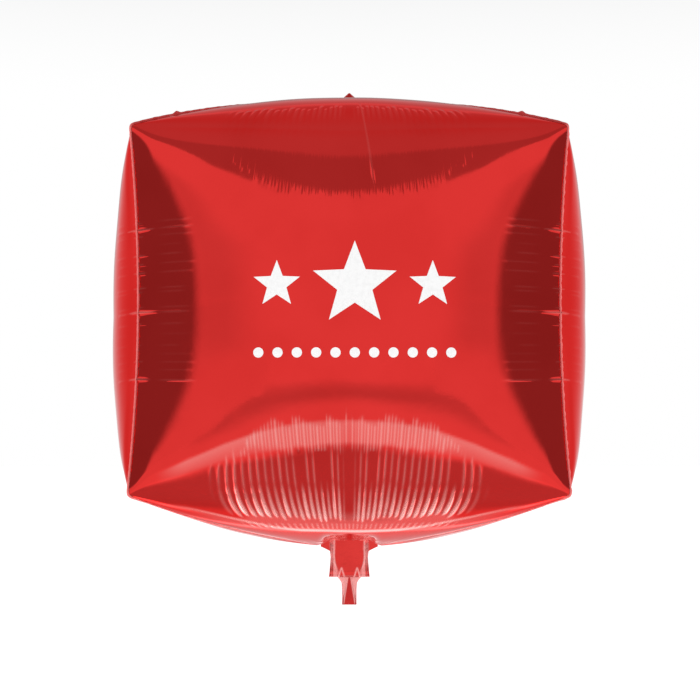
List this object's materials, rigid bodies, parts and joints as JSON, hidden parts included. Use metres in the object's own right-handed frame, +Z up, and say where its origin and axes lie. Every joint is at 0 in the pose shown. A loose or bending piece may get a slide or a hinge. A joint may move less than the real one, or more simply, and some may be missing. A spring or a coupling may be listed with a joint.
{
  "type": "cube foil balloon",
  "caption": "Inflated cube-shaped foil balloon with four panels, welded corner seams, flat filling neck, valve tube and top tab.",
  "frame": {"origin": "middle of the envelope, where its lift acts", "axes": "+Z up to the top tab, -Y out of the front face, +X to the right as seen from the front"},
  "size_m": [0.4318, 0.4318, 0.4875],
  "materials": {
    "film": "mirror-bright red metallised film",
    "seam": "crimped red metallised film, heat-sealed",
    "neck": "flat red metallised film, creased"
  },
  "bodies": {
    "root": {"panel_front": "film", "panel_back": "film", "panel_left": "film", "panel_right": "film", "seam_front_left": "seam", "seam_front_right": "seam", "seam_back_left": "seam", "seam_back_right": "seam", "neck": "neck", "valve_tube": "neck", "top_tab": "seam"}
  },
  "joints": []
}
